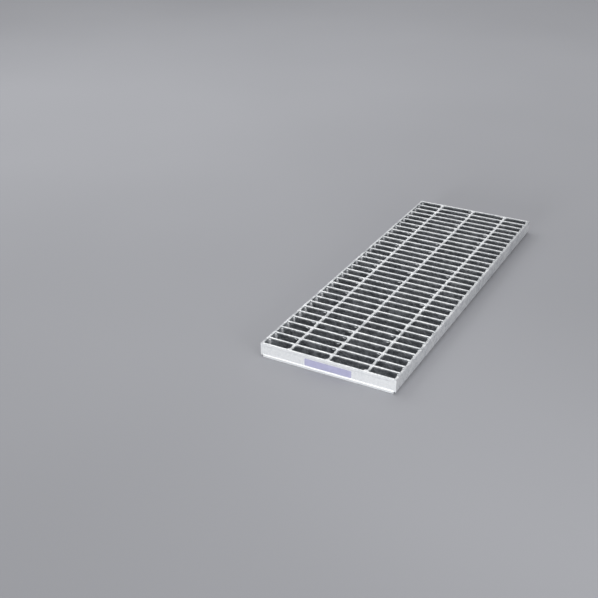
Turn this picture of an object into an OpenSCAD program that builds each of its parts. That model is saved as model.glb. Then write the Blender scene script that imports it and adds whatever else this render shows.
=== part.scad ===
// Steel grating panel for a drainage gutter.
// Rolled I-section bearing bars cross the short way, twisted square cross
// rods are forge-welded flush into their tops, and a flat side plate is
// welded along the bar ends on each long side.
// Frame: X across the gutter, Y along it, Z up. The origin is the middle of
// the underside, where the bearing bars rest.

/* [Bearing bars] */
// Number of bearing bars
bar_count = 34; // [4:1:40]
// Distance between the centres of neighbouring bearing bars
bar_pitch = 30; // [20:0.5:50]
// Height of a bearing bar, which is the height of the panel
bar_h = 38; // [25:1:60]
// Width of a bearing bar's flanges
flange_w = 5; // [4:0.1:8]
// Straight edge height of each flange
flange_edge = 6; // [4:0.1:8]
// Height of the taper between a flange's edge and the web
flange_taper = 2; // [0.5:0.1:3]
// Thickness of a bearing bar's web
web_t = 3; // [2:0.1:3.8]
// Chamfer that eases the outer corners of the flanges
flange_ease = 0.6; // [0.2:0.1:1.2]

/* [Side plates] */
// Width of the panel over its side plates
panel_w = 350; // [250:1:500]
// Thickness of a side plate
side_t = 6; // [3:0.5:9]
// Height of the side plates' lower edges above the underside of the bars
side_lift = 6; // [0:1:12]
// Chamfer that eases the long edges of a side plate
side_ease = 0.6; // [0.2:0.1:1.2]

/* [Cross rods] */
// Number of cross rods
rod_count = 3; // [1:1:4]
// Distance between the centres of neighbouring cross rods
rod_pitch = 100; // [40:1:110]
// Side of a cross rod's square section
rod_size = 6; // [4:0.5:8]
// Length of rod in which its section turns once
rod_lay = 90; // [60:1:160]
// Depth of a cross rod's highest corner below the tops of the bars
rod_sink = 0.3; // [0.1:0.1:2]
// Distance that each cross rod stops short of the panel's ends
rod_end_gap = 1; // [0.5:0.1:2]

/* [Welds] */
// Leg of the fillet welds between the bar ends and the side plates
weld_leg = 4.5; // [2:0.1:5]
// Distance from the tops of the bars down to the upper ends of the welds
weld_drop = 4; // [1:0.5:8]
// Distance from the side plates' lower edges up to the lower ends of the welds
weld_rise = 2; // [0:0.5:4]

/* [Hidden] */
zinc = "gainsboro";
// The panel's length, from the first bar's flange to the last one's
panel_l = (bar_count - 1) * bar_pitch + flange_w;
// A bearing bar fills the width between the side plates
bar_l = panel_w - 2 * side_t;
weld_low = side_lift + weld_rise;
weld_h = bar_h - weld_drop - weld_low;
// A twisted rod sweeps a circle through its corners
rod_reach = rod_size / sqrt(2);
rod_z = bar_h - rod_sink - rod_reach;
rod_l = panel_l - 2 * rod_end_gap;
rod_turns = rod_l / rod_lay;
// Straight steps along a rod, 12 to a turn
rod_steps = ceil(12 * rod_turns);

// Half of an I-section's outline, from the bottom upwards on the right
function i_half() = [
    [flange_w / 2 - flange_ease, 0],
    [flange_w / 2, flange_ease],
    [flange_w / 2, flange_edge],
    [web_t / 2, flange_edge + flange_taper],
    [web_t / 2, bar_h - flange_edge - flange_taper],
    [flange_w / 2, bar_h - flange_edge],
    [flange_w / 2, bar_h - flange_ease],
    [flange_w / 2 - flange_ease, bar_h]
];

// The same points on the left, from the top downwards
function i_mirrored() = [for (i = [len(i_half()) - 1 : -1 : 0]) [-i_half()[i][0], i_half()[i][1]]];

// Place of the middle of item i among count items that lie pitch apart
function centred(i, count, pitch) = (i - (count - 1) / 2) * pitch;

// A bearing bar, lying along X with its foot on the ground plane
module bearing_bar() {
    rotate([90, 0, 90])
        linear_extrude(bar_l, center = true)
            polygon(concat(i_half(), i_mirrored()));
}

// A square cross rod with a steady twist, lying along Y
module cross_rod() {
    rotate([90, 0, 0])
        linear_extrude(rod_l, center = true, twist = 360 * rod_turns, slices = rod_steps, segments = 4)
            square(rod_size, center = true);
}

// An upright fillet weld at each end of a bar: face is -1 on its near side and 1 on its far side
module end_welds(face) {
    for (end = [-1, 1])
        translate([end * bar_l / 2, 0, weld_low])
            linear_extrude(weld_h)
                polygon([
                    [0, 0],
                    [0, face * (web_t / 2 + weld_leg)],
                    [-end * weld_leg, face * web_t / 2],
                    [-end * weld_leg, 0]
                ]);
}

// The bars, their end welds and the rods that are forge-welded into them, one solid.
// Every bar is welded on its near side, apart from the first, whose near side is the panel's end.
module welded_grid() {
    color(zinc) union() {
        for (i = [0 : bar_count - 1])
            translate([0, centred(i, bar_count, bar_pitch), 0]) {
                bearing_bar();
                end_welds(i == 0 ? 1 : -1);
            }
        for (i = [0 : rod_count - 1])
            translate([centred(i, rod_count, rod_pitch), 0, rod_z]) cross_rod();
    }
}

// A flat bar along one long side, flush with the tops of the bars.
// side is -1 on the left and 1 on the right.
module side_plate(side) {
    inner = panel_w / 2 - side_t;
    outer = panel_w / 2;
    color(zinc)
        rotate([90, 0, 0])
            linear_extrude(panel_l, center = true)
                polygon([
                    [side * inner, side_lift],
                    [side * (outer - side_ease), side_lift],
                    [side * outer, side_lift + side_ease],
                    [side * outer, bar_h - side_ease],
                    [side * (outer - side_ease), bar_h],
                    [side * inner, bar_h]
                ]);
}

module side_plate_left() { side_plate(-1); }
module side_plate_right() { side_plate(1); }

welded_grid();
side_plate_left();
side_plate_right();
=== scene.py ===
"""Looks of a hot-dip galvanised steel gutter grating.

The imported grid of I-section bars and twisted rods and its two side plates stay as they are and
get their zinc finish here. Added are the rounded faces of the fillet welds that join the bar ends
to the side plates, the upset metal and flash where each rod was forge-welded into a bar, and the
bare film label on the near end bar. Lengths are in metres, in the frame's axes.
"""
import math
import random

import bpy
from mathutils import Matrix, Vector


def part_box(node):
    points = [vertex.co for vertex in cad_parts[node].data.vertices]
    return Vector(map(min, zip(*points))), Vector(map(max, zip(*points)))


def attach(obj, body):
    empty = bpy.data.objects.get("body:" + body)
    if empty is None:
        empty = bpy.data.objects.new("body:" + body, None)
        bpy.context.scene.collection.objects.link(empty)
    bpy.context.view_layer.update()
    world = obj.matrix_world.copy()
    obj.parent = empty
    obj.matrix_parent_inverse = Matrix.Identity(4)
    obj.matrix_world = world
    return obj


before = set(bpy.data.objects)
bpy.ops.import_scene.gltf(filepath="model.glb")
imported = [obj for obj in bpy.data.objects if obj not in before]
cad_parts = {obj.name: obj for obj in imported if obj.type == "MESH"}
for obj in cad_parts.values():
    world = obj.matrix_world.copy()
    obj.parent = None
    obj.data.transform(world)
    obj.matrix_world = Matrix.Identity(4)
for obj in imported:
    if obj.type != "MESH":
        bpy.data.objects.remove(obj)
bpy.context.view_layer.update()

MM = 0.001

# ---- Sizes of the grating's own parts ----
BAR_COUNT = 34
ROD_COUNT = 3
FLANGE_WIDTH = 5 * MM
WEB_THICKNESS = 3 * MM
ROD_PITCH = 100 * MM
WELD_LEG = 4.5 * MM
WELD_DROP = 4 * MM
WELD_RISE = 2 * MM

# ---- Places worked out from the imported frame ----
GRID_LOW, GRID_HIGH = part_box("welded_grid")
PLATE_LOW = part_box("side_plate_right")[0]
FIRST_BAR_Y = GRID_LOW.y + FLANGE_WIDTH / 2
BAR_PITCH = (GRID_HIGH.y - GRID_LOW.y - FLANGE_WIDTH) / (BAR_COUNT - 1)
BAR_END_X = GRID_HIGH.x
TOP_Z = GRID_HIGH.z
WELD_TOP = TOP_Z - WELD_DROP
WELD_FOOT = PLATE_LOW.z + WELD_RISE

# ---- Sizes of the pieces added here; a root is how far one reaches into the steel behind it ----
BEAD_ROOT = 0.4 * MM
BEAD_RINGS = 8
LUMP_DROP = 2.4 * MM
END_LUMP_INSET = 3.8 * MM
FLASH_SHARE = 0.45
FLASH_ROOT = 0.2 * MM
LABEL_WIDE, LABEL_THICK, LABEL_HIGH = 121 * MM, 0.2 * MM, 18.5 * MM
LABEL_X, LABEL_Z = 3 * MM, 18.6 * MM
LABEL_CORNER, LABEL_ROOT = 2 * MM, 0.05 * MM
BEAD_MODELS, LUMP_MODELS, FLASH_MODELS = 4, 5, 4
SEED = 7


def bar_y(i):
    """Centre of bearing bar i, counted from the near end."""
    return FIRST_BAR_Y + i * BAR_PITCH


def rod_x(i):
    """Centre of cross rod i, counted from the left."""
    return (i - (ROD_COUNT - 1) / 2) * ROD_PITCH


# ---- Modelling ----
def select_parts(kind, test):
    """Leaves edit mode with only those vertices, edges or faces of the active mesh selected whose
    middle passes a test."""
    mesh = bpy.context.object.data
    bpy.ops.object.mode_set(mode="EDIT")
    bpy.ops.mesh.select_mode(type=kind)
    bpy.ops.mesh.select_all(action="DESELECT")
    bpy.ops.object.mode_set(mode="OBJECT")
    parts = {"VERT": mesh.vertices, "EDGE": mesh.edges, "FACE": mesh.polygons}[kind]
    for part in parts:
        if kind == "VERT":
            middle = part.co
        else:
            corners = [mesh.vertices[v].co for v in part.vertices]
            middle = sum(corners, Vector()) / len(corners)
        part.select = test(bpy.context.object.matrix_world @ middle)
    bpy.ops.object.mode_set(mode="EDIT")


def cut_off(place, outwards):
    """Cuts the active mesh, in edit mode, along a plane and closes the cut. What lies outwards
    goes."""
    bpy.ops.mesh.select_all(action="SELECT")
    bpy.ops.mesh.bisect(plane_co=place, plane_no=outwards, use_fill=True, clear_outer=True)


def finish_piece(piece, name, material, angle=40):
    """Puts a piece at the origin with its place in its mesh, shades and dresses it, and hands it
    on."""
    bpy.ops.object.select_all(action="DESELECT")
    piece.select_set(True)
    bpy.context.view_layer.objects.active = piece
    bpy.ops.object.transform_apply(location=True, rotation=True, scale=True)
    bpy.ops.object.shade_smooth_by_angle(angle=math.radians(angle))
    piece.name = name
    dress(piece, material)
    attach(piece, "root")
    return piece


def scatter(models, places):
    """Copies of the models, each with its own mesh, moved to places given as (model number, offset,
    turn about the vertical) and joined. The models themselves are removed."""
    twins = []
    for number, offset, turn in places:
        twin = models[number].copy()
        twin.data = models[number].data.copy()
        bpy.context.scene.collection.objects.link(twin)
        twin.rotation_euler.z = turn
        twin.location += Vector(offset)
        twins.append(twin)
    for model in models:
        bpy.data.objects.remove(model)
    bpy.ops.object.select_all(action="DESELECT")
    for twin in twins:
        twin.select_set(True)
    bpy.context.view_layer.objects.active = twins[0]
    bpy.ops.object.transform_apply(location=True, rotation=True, scale=True)
    bpy.ops.object.join()
    return bpy.context.object


# ---- Welds ----
def weld_bead(side, face, chance):
    """A convex, rippled fillet weld in the upright corner between a bar's web and a side plate, at
    the origin. Side is -1 for the left plate, and face is -1 for a web's near side."""
    low, high = WELD_FOOT - 0.8 * MM, WELD_TOP + 1.4 * MM
    height = high - low
    centre = (0, 0, (high + low) / 2)
    eighth = math.radians(45) * side * face
    bpy.ops.object.select_all(action="DESELECT")
    bpy.ops.mesh.primitive_cylinder_add(vertices=16, radius=1.2 * WELD_LEG, depth=height,
                                        location=centre)
    bead = bpy.context.object
    bpy.ops.object.mode_set(mode="EDIT")
    bpy.ops.transform.rotate(value=eighth, orient_axis="Z", center_override=centre)
    bpy.ops.mesh.select_all(action="SELECT")
    bpy.ops.transform.resize(value=(0.72, 1, 1), center_override=centre)
    bpy.ops.transform.rotate(value=-eighth, orient_axis="Z", center_override=centre)
    levels = [low + 1.2 * MM, high - 1.2 * MM]
    levels += [low + height * (ring + chance.uniform(-0.2, 0.2)) / BEAD_RINGS
               for ring in range(1, BEAD_RINGS)]
    for level in levels:
        bpy.ops.mesh.select_all(action="SELECT")
        bpy.ops.mesh.bisect(plane_co=(0, 0, level), plane_no=(0, 0, 1))
        swell = chance.uniform(0.93, 1.12)
        bpy.ops.transform.resize(value=(swell, swell, 1), center_override=(0, 0, level))
    for level in (low, high):
        select_parts("VERT", lambda place: abs(place.z - level) < 0.2 * MM)
        bpy.ops.transform.resize(value=(0.72, 0.72, 1), center_override=(0, 0, level))
    cut_off((side * BEAD_ROOT, 0, 0), (side, 0, 0))
    cut_off((0, -face * BEAD_ROOT, 0), (0, -face, 0))
    bpy.ops.object.mode_set(mode="OBJECT")
    return bead


def end_welds(side, material):
    """The beads that join every bar's end to one side plate: on the near side of each web, and on
    the inner side of the first one."""
    chance = random.Random(SEED + side)
    models = [weld_bead(side, -1, chance) for _ in range(BEAD_MODELS)]
    models.append(weld_bead(side, 1, chance))
    places = [(BEAD_MODELS, (side * BAR_END_X, bar_y(0) + WEB_THICKNESS / 2, 0), 0)]
    for i in range(1, BAR_COUNT):
        shift = chance.uniform(-1.2, 0.4) * MM
        corner = (side * BAR_END_X, bar_y(i) - WEB_THICKNESS / 2, shift)
        places.append((chance.randrange(BEAD_MODELS), corner, 0))
    name = "bar_end_welds_left" if side < 0 else "bar_end_welds_right"
    finish_piece(scatter(models, places), name, material, 50)


def forged_lump(chance):
    """The metal that forge-welding squeezes out round a crossing, pressed nearly flush, at the
    origin."""
    centre = (0, 0, TOP_Z - LUMP_DROP)
    bpy.ops.object.select_all(action="DESELECT")
    bpy.ops.mesh.primitive_uv_sphere_add(segments=10, ring_count=8, radius=1 * MM, location=centre)
    lump = bpy.context.object
    bpy.ops.object.mode_set(mode="EDIT")
    size = (chance.uniform(5.6, 7.0), chance.uniform(4.2, 5.2), 4.4)
    bpy.ops.transform.resize(value=size, center_override=centre)
    bpy.ops.transform.vertex_random(offset=0.7 * MM, seed=chance.randrange(1, 999))
    select_parts("VERT", lambda place: place.z > TOP_Z - 0.9 * MM)
    bpy.ops.transform.resize(value=(0.95, 0.95, 0.25), center_override=(0, 0, TOP_Z - 0.3 * MM))
    bpy.ops.object.mode_set(mode="OBJECT")
    return lump


def forge_welds(material):
    """The squeezed-out metal at the crossings of bars and rods, each a little different."""
    chance = random.Random(SEED + 20)
    models = [forged_lump(chance) for _ in range(LUMP_MODELS)]
    places = []
    for i in range(BAR_COUNT):
        inset = END_LUMP_INSET if i == 0 else -END_LUMP_INSET if i == BAR_COUNT - 1 else 0
        for j in range(ROD_COUNT):
            drift = chance.uniform(-1.8, 0.6) * MM
            turn = chance.choice((0, math.pi)) + chance.uniform(-0.25, 0.25)
            crossing = (rod_x(j) + drift, bar_y(i) + inset, 0)
            places.append((chance.randrange(LUMP_MODELS), crossing, turn))
    finish_piece(scatter(models, places), "forge_weld_lumps", material, 60)


def flash_tongue(chance):
    """A ragged tongue of weld flash that clings to the near edge of a bar's upper flange, at the
    origin."""
    bpy.ops.object.select_all(action="DESELECT")
    bpy.ops.mesh.primitive_uv_sphere_add(segments=10, ring_count=5, radius=1 * MM,
                                         location=(0, 0, 0))
    tongue = bpy.context.object
    bpy.ops.object.mode_set(mode="EDIT")
    size = (chance.uniform(3.8, 5.8), 1.3, chance.uniform(1.2, 1.9))
    bpy.ops.transform.resize(value=size, center_override=(0, 0, 0))
    bpy.ops.transform.vertex_random(offset=0.5 * MM, seed=chance.randrange(1, 999))
    slope = math.radians(chance.uniform(-12, 8))
    bpy.ops.transform.rotate(value=slope, orient_axis="Y", center_override=(0, 0, 0))
    cut_off((0, 1 * MM, 0), (0, 1, 0))
    bpy.ops.object.mode_set(mode="OBJECT")
    return tongue


def weld_flash(material):
    """Tongues of flash on the near sides of the bars, just left of the rods, at about half of the
    crossings."""
    chance = random.Random(SEED + 40)
    models = [flash_tongue(chance) for _ in range(FLASH_MODELS)]
    places = []
    for i in range(1, BAR_COUNT):
        for j in range(ROD_COUNT):
            if chance.random() < FLASH_SHARE:
                along = rod_x(j) - chance.uniform(9, 15) * MM
                level = TOP_Z - chance.uniform(3.2, 5.6) * MM
                edge_y = bar_y(i) - FLANGE_WIDTH / 2 + FLASH_ROOT
                places.append((chance.randrange(FLASH_MODELS), (along, edge_y, level), 0))
    finish_piece(scatter(models, places), "weld_flash", material, 60)


def film_label(material):
    """The bare film label on the near end bar's web, with rounded corners."""
    web_y = GRID_LOW.y + (FLANGE_WIDTH - WEB_THICKNESS) / 2
    place = (LABEL_X, web_y - LABEL_THICK / 2 + LABEL_ROOT, LABEL_Z)
    size = (LABEL_WIDE, LABEL_THICK, LABEL_HIGH)
    bpy.ops.object.select_all(action="DESELECT")
    bpy.ops.mesh.primitive_cube_add(size=1, location=place, scale=size)
    label = bpy.context.object
    bpy.ops.object.transform_apply(location=True, rotation=True, scale=True)
    select_parts("EDGE", lambda at: abs(abs(at.x - LABEL_X) - LABEL_WIDE / 2) < 0.1 * MM
                 and abs(abs(at.z - LABEL_Z) - LABEL_HIGH / 2) < 0.1 * MM)
    bpy.ops.mesh.bevel(offset=LABEL_CORNER, segments=4, affect="EDGES")
    bpy.ops.object.mode_set(mode="OBJECT")
    finish_piece(label, "film_label", material, 30)


# ---- Camera ----
def make_camera():
    """A long lens that looks down along the panel from its near right corner."""
    data = bpy.data.cameras.new("camera")
    data.lens = 58.717
    data.sensor_width = 36.0
    data.clip_start = 0.05
    data.clip_end = 100.0
    data.dof.use_dof = False
    camera = bpy.data.objects.new("camera", data)
    camera.location = (0.8666, -2.1982, 1.2182)
    camera.rotation_euler = [math.radians(a) for a in (61.899, 0.373, 28.652)]
    bpy.context.scene.collection.objects.link(camera)
    bpy.context.scene.camera = camera


# ---- Materials ----
def linear(code):
    """The linear colour of an sRGB hex value such as "c4c8cc"."""
    parts = [int(code[i:i + 2], 16) / 255 for i in (0, 2, 4)]
    light = [p / 12.92 if p <= 0.04045 else ((p + 0.055) / 1.055) ** 2.4 for p in parts]
    return (*light, 1.0)


def node(tree, kind, settings=None, links=None):
    """Adds a shader node with its settings and links, given by the names or numbers of sockets.
    Stops are the places and colours of a colour ramp."""
    made = tree.nodes.new("ShaderNode" + kind)
    for name, value in (settings or {}).items():
        if name == "stops":
            for i, (place, colour) in enumerate(value):
                stop = made.color_ramp.elements[i] if i < 2 else made.color_ramp.elements.new(place)
                stop.position, stop.color = place, linear(colour)
        elif isinstance(name, int) or name in made.inputs:
            made.inputs[name].default_value = value
        else:
            setattr(made, name, value)
    for name, source in (links or {}).items():
        tree.links.new(source, made.inputs[name])
    return made


def new_material(name):
    """An empty node material and the tree to fill."""
    material = bpy.data.materials.new(name)
    material.use_nodes = True
    material.node_tree.nodes.clear()
    return material, material.node_tree


def close_material(tree, shader):
    """Links a shader to the material's output."""
    output = tree.nodes.new("ShaderNodeOutputMaterial")
    tree.links.new(shader.outputs["BSDF"], output.inputs["Surface"])


def galvanised_steel():
    """Hot-dip galvanised steel: a thick zinc skin, satin and slightly uneven. Soft grey spangle of
    about 9 mm and a cloudy tone of about 35 mm vary its brightness, and a finer frost of about 2 mm
    breaks up its reflections. Its colour also changes by place, and that is painted light and
    shade. The outer faces and the tops of the bars and rods take the bright tone, with a painted
    even highlight on the end faces. The faces down inside the cells take a darker grey of painted
    shade, and the side plates' upper edges take it by half."""
    material, tree = new_material("hot_dip_galvanised_steel")
    place = node(tree, "TexCoord").outputs["Object"]
    spangle = node(tree, "TexVoronoi", {"Scale": 1 / (9 * MM), "Randomness": 1.0},
                   {"Vector": place})
    cloud = node(tree, "TexNoise", {"Scale": 1 / (35 * MM), "Detail": 3.0, "Roughness": 0.6},
                 {"Vector": place})
    frost = node(tree, "TexNoise", {"Scale": 1 / (2 * MM), "Detail": 4.0, "Roughness": 0.65},
                 {"Vector": place})
    grey = node(tree, "SeparateColor", {}, {"Color": spangle.outputs["Color"]})
    speckle = node(tree, "TexNoise", {"Scale": 1 / (5 * MM), "Detail": 2.0, "Roughness": 0.7},
                   {"Vector": place})
    uneven = node(tree, "Math", {"operation": "MULTIPLY_ADD", 1: 1.2, 2: -0.6},
                  {0: speckle.outputs["Fac"]})
    soft = node(tree, "Math", {"operation": "ADD"}, {0: cloud.outputs["Fac"], 1: uneven.outputs[0]})
    mixed = node(tree, "Math", {"operation": "MULTIPLY_ADD", 1: 0.4},
                 {0: grey.outputs["Red"], 2: soft.outputs[0]})
    bright = node(tree, "ValToRGB", {"stops": [(0.3, "c8cbcf"), (1.0, "f5f6f7"), (0.66, "e4e6e8")]},
                  {"Fac": mixed.outputs[0]})
    # Painted shade: a darker copy of the zinc tone, for the faces down inside the cells.
    painted_shade_tone = node(tree, "ValToRGB", {"stops": [(0.3, "6c6f74"), (1.0, "c4c7cb"), (0.68, "989ca0")]},
                {"Fac": mixed.outputs[0]})
    axes = node(tree, "SeparateXYZ", {}, {0: place})
    across = node(tree, "Math", {"operation": "ABSOLUTE"}, {0: axes.outputs["X"]})
    along = node(tree, "Math", {"operation": "ABSOLUTE"}, {0: axes.outputs["Y"]})
    top = node(tree, "MapRange", {"From Min": TOP_Z - 1.4 * MM, "From Max": TOP_Z - 0.5 * MM},
               {"Value": axes.outputs["Z"]})
    side = node(tree, "MapRange", {"From Min": BAR_END_X + 1 * MM, "From Max": BAR_END_X + 4 * MM},
                {"Value": across.outputs[0]})
    end_y = GRID_HIGH.y
    end = node(tree, "MapRange", {"From Min": end_y - 2 * MM, "From Max": end_y - 1.3 * MM},
               {"Value": along.outputs[0]})
    aside = node(tree, "Math", {"operation": "PINGPONG", 1: ROD_PITCH / 2}, {0: axes.outputs["X"]})
    near_rod = node(tree, "MapRange", {"From Min": 6.5 * MM, "From Max": 4.5 * MM},
                    {"Value": aside.outputs[0]})
    rod_depth = node(tree, "MapRange", {"From Min": TOP_Z - 4 * MM, "From Max": TOP_Z - 1.8 * MM},
                     {"Value": axes.outputs["Z"]})
    rod = node(tree, "Math", {"operation": "MULTIPLY"},
               {0: near_rod.outputs[0], 1: rod_depth.outputs[0]})
    outer = node(tree, "Math", {"operation": "MAXIMUM"}, {0: side.outputs[0], 1: end.outputs[0]})
    upper = node(tree, "Math", {"operation": "MAXIMUM"}, {0: top.outputs[0], 1: rod.outputs[0]})
    # Painted light and shade: the tops, the rods' upper sides, the plates' outer faces and the end
    # faces get the bright tone, and everything lower in the cells gets the painted shade tone.
    painted_light_share = node(tree, "Math", {"operation": "MAXIMUM"},
                    {0: upper.outputs[0], 1: outer.outputs[0]})
    # Painted highlight: the end faces are pushed towards an even near-white.
    painted_end_highlight_share = node(tree, "Math", {"operation": "MULTIPLY", 1: 0.6}, {0: end.outputs[0]})
    bright_with_painted_end_highlight = node(tree, "Mix", {"data_type": "RGBA", 7: linear("eff1f2")},
                {0: painted_end_highlight_share.outputs[0], 6: bright.outputs["Color"]})
    skin = node(tree, "Mix", {"data_type": "RGBA"},
                {0: painted_light_share.outputs[0], 6: painted_shade_tone.outputs["Color"], 7: bright_with_painted_end_highlight.outputs[2]})
    # Painted shade: the side plates' top edges are taken half way to the painted shade tone.
    on_plate = node(tree, "MapRange",
                    {"From Min": BAR_END_X - 0.3 * MM, "From Max": BAR_END_X + 0.1 * MM},
                    {"Value": across.outputs[0]})
    on_edge = node(tree, "MapRange",
                   {"From Min": TOP_Z - 0.5 * MM, "From Max": TOP_Z - 0.2 * MM, "To Max": 0.5},
                   {"Value": axes.outputs["Z"]})
    painted_plate_top_shade = node(tree, "Math", {"operation": "MULTIPLY"},
               {0: on_plate.outputs[0], 1: on_edge.outputs[0]})
    colour = node(tree, "Mix", {"data_type": "RGBA"},
                  {0: painted_plate_top_shade.outputs[0], 6: skin.outputs[2], 7: painted_shade_tone.outputs["Color"]})
    rough = node(tree, "MapRange",
                 {"From Min": 0.3, "From Max": 1.0, "To Min": 0.52, "To Max": 0.42},
                 {"Value": mixed.outputs[0]})
    bump = node(tree, "Bump", {"Strength": 0.35, "Distance": 0.15 * MM},
                {"Height": frost.outputs["Fac"]})
    shader = node(tree, "BsdfPrincipled", {"Metallic": 0.7},
                  {"Base Color": colour.outputs[2], "Roughness": rough.outputs[0],
                   "Normal": bump.outputs[0]})
    close_material(tree, shader)
    return material


def weld_zinc():
    """Weld metal under the same zinc: lumpier than the rolled steel, with a grain of about
    1.5 mm."""
    material, tree = new_material("galvanised_weld_metal")
    place = node(tree, "TexCoord").outputs["Object"]
    grain = node(tree, "TexNoise", {"Scale": 1 / (1.5 * MM), "Detail": 3.0}, {"Vector": place})
    colour = node(tree, "ValToRGB", {"stops": [(0.3, "d2d4d8"), (0.7, "f4f5f6")]},
                  {"Fac": grain.outputs["Fac"]})
    bump = node(tree, "Bump", {"Strength": 0.5, "Distance": 0.2 * MM},
                {"Height": grain.outputs["Fac"]})
    shader = node(tree, "BsdfPrincipled", {"Metallic": 0.15, "Roughness": 0.5},
                  {"Base Color": colour.outputs["Color"], "Normal": bump.outputs[0]})
    close_material(tree, shader)
    return material


def label_vinyl():
    """Printed vinyl film, left bare: smooth, satin and pale lilac."""
    material, tree = new_material("pale_lilac_vinyl_film")
    place = node(tree, "TexCoord").outputs["Object"]
    cloud = node(tree, "TexNoise", {"Scale": 1 / (20 * MM), "Detail": 2.0}, {"Vector": place})
    colour = node(tree, "ValToRGB", {"stops": [(0.3, "9c9cb8"), (0.7, "a5a5c1")]},
                  {"Fac": cloud.outputs["Fac"]})
    shader = node(tree, "BsdfPrincipled", {"Roughness": 0.5},
                  {"Base Color": colour.outputs["Color"]})
    close_material(tree, shader)
    return material


def floor_paper():
    """Matt seamless paper in a mid grey, the floor of the studio."""
    material, tree = new_material("studio_floor_paper")
    place = node(tree, "TexCoord").outputs["Object"]
    cloud = node(tree, "TexNoise", {"Scale": 0.7, "Detail": 2.0}, {"Vector": place})
    colour = node(tree, "ValToRGB", {"stops": [(0.3, "a2a3a8"), (0.7, "a7a8ad")]},
                  {"Fac": cloud.outputs["Fac"]})
    shader = node(tree, "BsdfPrincipled", {"Roughness": 0.9, "Specular IOR Level": 0.2},
                  {"Base Color": colour.outputs["Color"]})
    close_material(tree, shader)
    return material


def dress(obj, material):
    """Gives an object one material."""
    obj.data.materials.clear()
    obj.data.materials.append(material)


# ---- Stage ----
def make_stage():
    """Floor, soft lamps and a sky that is brighter overhead than near the horizon."""
    bpy.ops.mesh.primitive_plane_add(size=40)
    floor = bpy.context.object
    floor.name = "studio_floor"
    dress(floor, floor_paper())
    world = bpy.data.worlds.new("studio")
    bpy.context.scene.world = world
    world.use_nodes = True
    tree = world.node_tree
    tree.nodes.clear()
    way = node(tree, "SeparateXYZ", {}, {0: node(tree, "TexCoord").outputs["Generated"]})
    glow = node(tree, "MapRange",
                {"From Min": 0.25, "From Max": 0.65, "To Min": 0.36, "To Max": 1.02},
                {"Value": way.outputs["Z"]})
    sky = node(tree, "Background", {}, {"Strength": glow.outputs[0]})
    node(tree, "OutputWorld", {}, {"Surface": sky.outputs[0]})
    add_far_lamp("front_low_light", (-0.06, -1.0, 0.065), 2.6, 16)
    add_lamp("right_strip", (1.6, -1.2, 0.55), (0.17, -0.5, 0.02), (0.9, 0.5), 1.1, 60)
    add_far_lamp("right_low_light", (1.0, 0.1, 0.1), 0.3, 20)
    add_lamp("back_softbox", (-1.56, 2.44, 2.2), (0.0, -0.45, 0.04), (2.0, 1.2), 13)
    add_lamp("left_softbox", (-2.8, 0.2, 2.2), (-0.3, -0.1, 0.0), (2.0, 2.0), 18)


def add_far_lamp(name, way, strength, breadth):
    """A soft lamp so far away that only the way to it matters. Breadth is how wide it looks, in
    degrees."""
    data = bpy.data.lights.new(name, "SUN")
    data.energy = strength
    data.angle = math.radians(breadth)
    lamp = bpy.data.objects.new(name, data)
    lamp.location = Vector(way) * 3
    lamp.rotation_euler = (-Vector(way)).to_track_quat("-Z", "Y").to_euler()
    bpy.context.scene.collection.objects.link(lamp)


def add_lamp(name, place, aim, size, watts, spread=180):
    """A rectangular soft lamp at a place, turned to an aim point. Spread is its beam in degrees."""
    data = bpy.data.lights.new(name, "AREA")
    data.shape = "RECTANGLE"
    data.size, data.size_y = size
    data.energy = watts
    data.spread = math.radians(spread)
    lamp = bpy.data.objects.new(name, data)
    lamp.location = place
    lamp.rotation_euler = (Vector(aim) - Vector(place)).to_track_quat("-Z", "Y").to_euler()
    bpy.context.scene.collection.objects.link(lamp)


make_camera()
make_stage()
zinc = galvanised_steel()
for name in ("welded_grid", "side_plate_left", "side_plate_right"):
    dress(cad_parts[name], zinc)
weld = weld_zinc()
for side in (-1, 1):
    end_welds(side, weld)
forge_welds(weld)
weld_flash(weld)
film_label(label_vinyl())

bpy.context.scene.view_settings.view_transform = "Standard"
